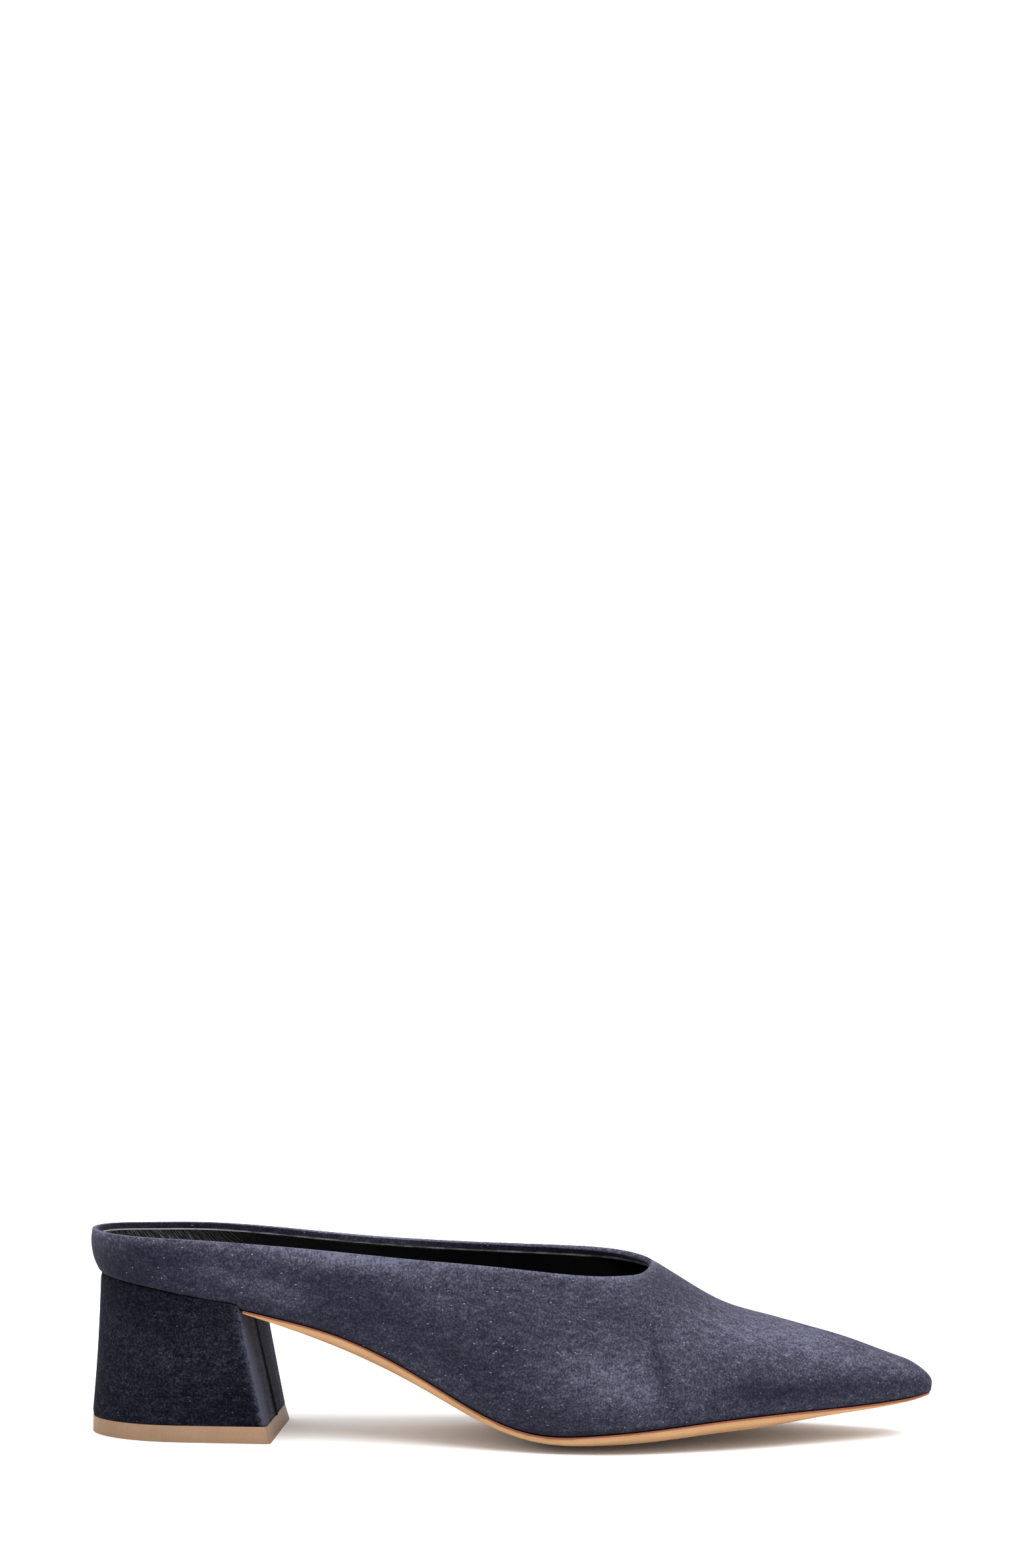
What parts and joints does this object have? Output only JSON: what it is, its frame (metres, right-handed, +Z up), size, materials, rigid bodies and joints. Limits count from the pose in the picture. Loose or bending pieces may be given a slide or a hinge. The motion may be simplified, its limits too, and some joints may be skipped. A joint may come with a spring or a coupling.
{
  "type": "women's heeled mule shoe",
  "caption": "Right-foot mule with a pointed toe, a low collar all round, a flared covered block heel and a thin leather sole.",
  "frame": {"origin": "centre of the top piece's flat underside, on the floor", "axes": "+X along the heel's centreline towards the toe, +Y to the inner (medial) side of the foot, +Z up"},
  "size_m": [0.2705, 0.079, 0.0656],
  "materials": {
    "suede": "napped suede",
    "sock_leather": "smooth leather",
    "sole_leather": "burnished sole leather",
    "heel_suede": "napped suede over a moulded block",
    "top_piece_rubber": "satin"
  },
  "bodies": {
    "root": {"upper": "suede", "insole": "sock_leather", "outsole": "sole_leather", "heel": "heel_suede", "top_piece": "top_piece_rubber"}
  },
  "joints": []
}
